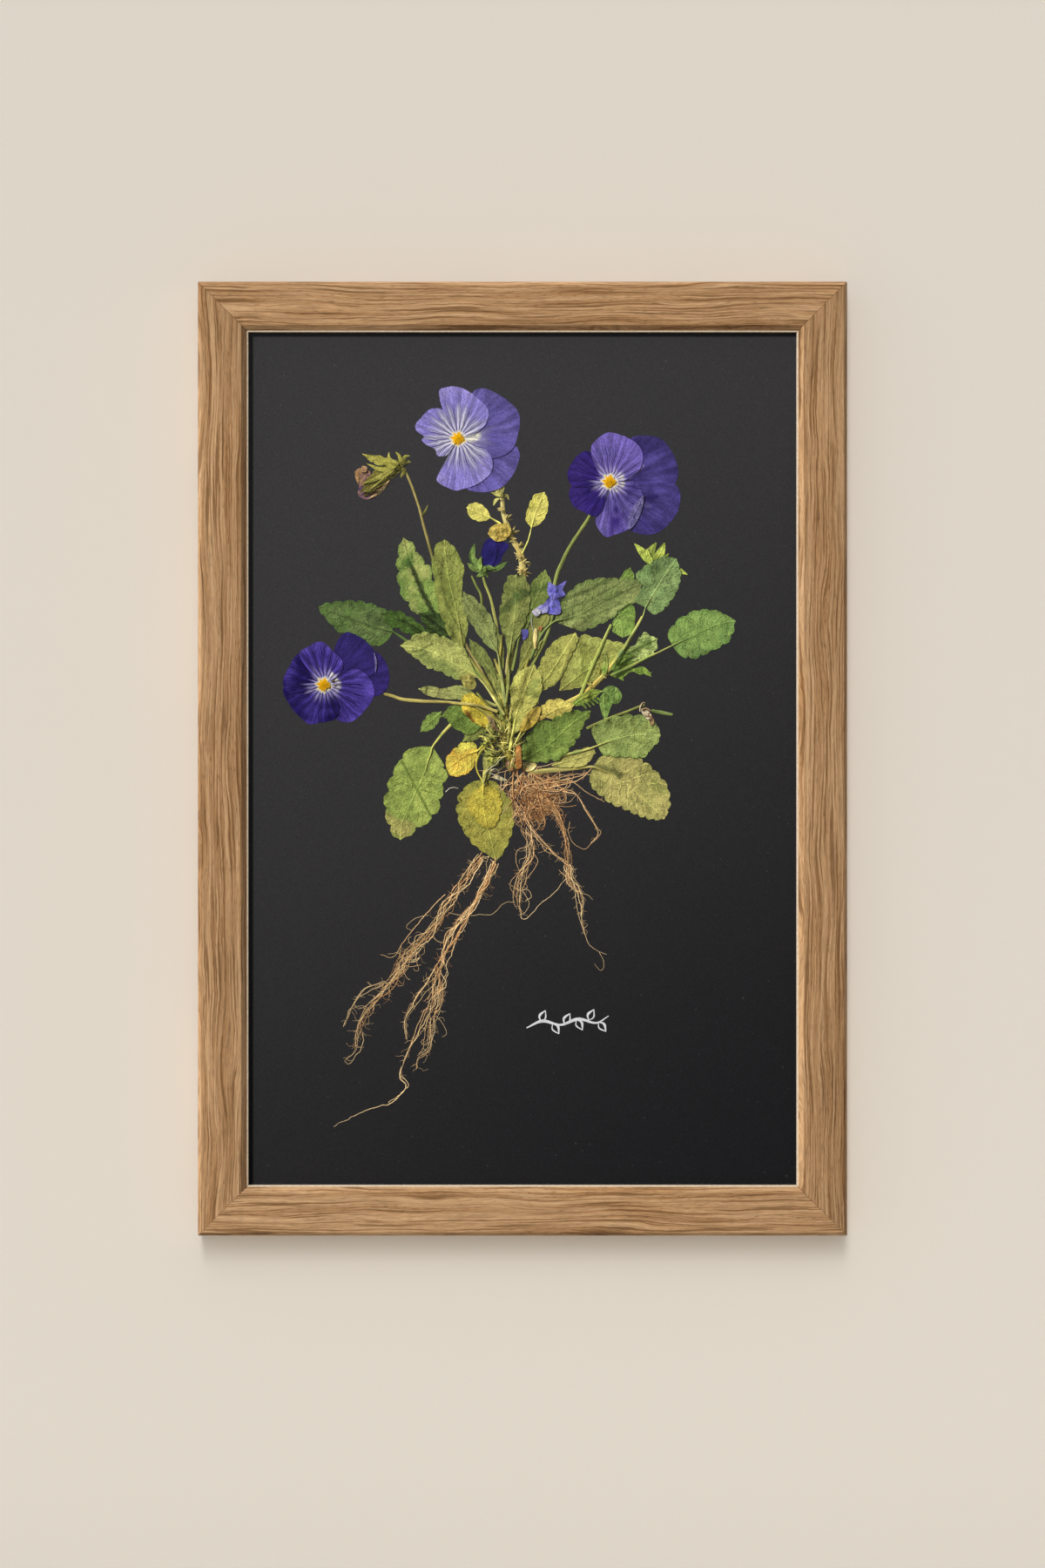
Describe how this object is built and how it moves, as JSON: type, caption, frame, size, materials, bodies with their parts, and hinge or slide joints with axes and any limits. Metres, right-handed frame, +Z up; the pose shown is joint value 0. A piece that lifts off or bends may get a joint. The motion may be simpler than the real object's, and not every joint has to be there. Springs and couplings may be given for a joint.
{
  "type": "pressed flower frame",
  "caption": "Hanging oak picture frame with a whole pressed pansy plant, flowers to roots, laid on black card behind glass.",
  "frame": {"origin": "where the wall nail carries the sawtooth hanger, under its middle notch, in the plane of the rails' back faces and 13 mm below the top edge", "axes": "+Z up along the frame's height, +Y out of the back towards the wall, +X to the right as seen from the front"},
  "size_m": [0.323, 0.0247, 0.4745],
  "materials": {
    "oak": "satin",
    "picture_glass": "polished",
    "spacer_board": "matte",
    "black_card": "matte",
    "fibreboard": "matte",
    "steel": "satin",
    "brassed_steel": "satin",
    "petal_blue": "matte",
    "petal_violet": "matte",
    "petal_dark": "matte",
    "leaf_green": "matte",
    "leaf_light": "matte",
    "leaf_olive": "matte",
    "leaf_yellow": "matte",
    "stalk": "matte",
    "root": "matte"
  },
  "bodies": {
    "root": {"rail_top": "oak", "rail_bottom": "oak", "rail_left": "oak", "rail_right": "oak", "glass_pane": "picture_glass", "spacer_top": "spacer_board", "spacer_bottom": "spacer_board", "spacer_left": "spacer_board", "spacer_right": "spacer_board", "mount_card": "black_card", "backing_board": "fibreboard", "flex_point_1": "steel", "flex_point_2": "steel", "flex_point_3": "steel", "flex_point_4": "steel", "flex_point_5": "steel", "flex_point_6": "steel", "hanger_nail_left": "steel", "hanger_nail_right": "steel", "hanger_plate": "brassed_steel", "flower_top": "petal_blue", "flower_right": "petal_violet", "flower_left": "petal_dark", "bud_purple": "petal_dark", "leaf_tall_dark": "leaf_green", "leaf_left_high": "leaf_green", "leaf_right_dark": "leaf_green", "leaf_round_blue_green": "leaf_green", "leaf_far_right": "leaf_green", "leaf_low_dark": "leaf_green", "leaf_tall_light": "leaf_light", "leaf_narrow_centre": "leaf_light", "leaf_torn_top": "leaf_light", "leaf_left_middle": "leaf_light", "leaf_left_low": "leaf_light", "leaf_right_yellow_green": "leaf_light", "leaf_centre_front": "leaf_light", "leaf_low_spotted": "leaf_light", "bud_green": "leaf_light", "leaf_left_long": "leaf_olive", "leaf_low_olive": "leaf_olive", "leaf_right_brownish": "leaf_olive", "leaf_low_right": "leaf_olive", "flower_wilted": "leaf_olive", "leaf_orange": "leaf_yellow", "leaf_low_yellow": "leaf_yellow", "stem_of_top_flower": "leaf_yellow", "crown_stem": "stalk", "stem_of_right_flower": "stalk", "stem_of_left_flower": "stalk", "stem_of_wilted_flower": "stalk", "stem_of_bud": "stalk", "side_shoot": "stalk", "root_ball": "root", "root_left_outer": "root", "root_left_inner": "root", "root_centre": "root", "root_right": "root"}
  },
  "joints": []
}
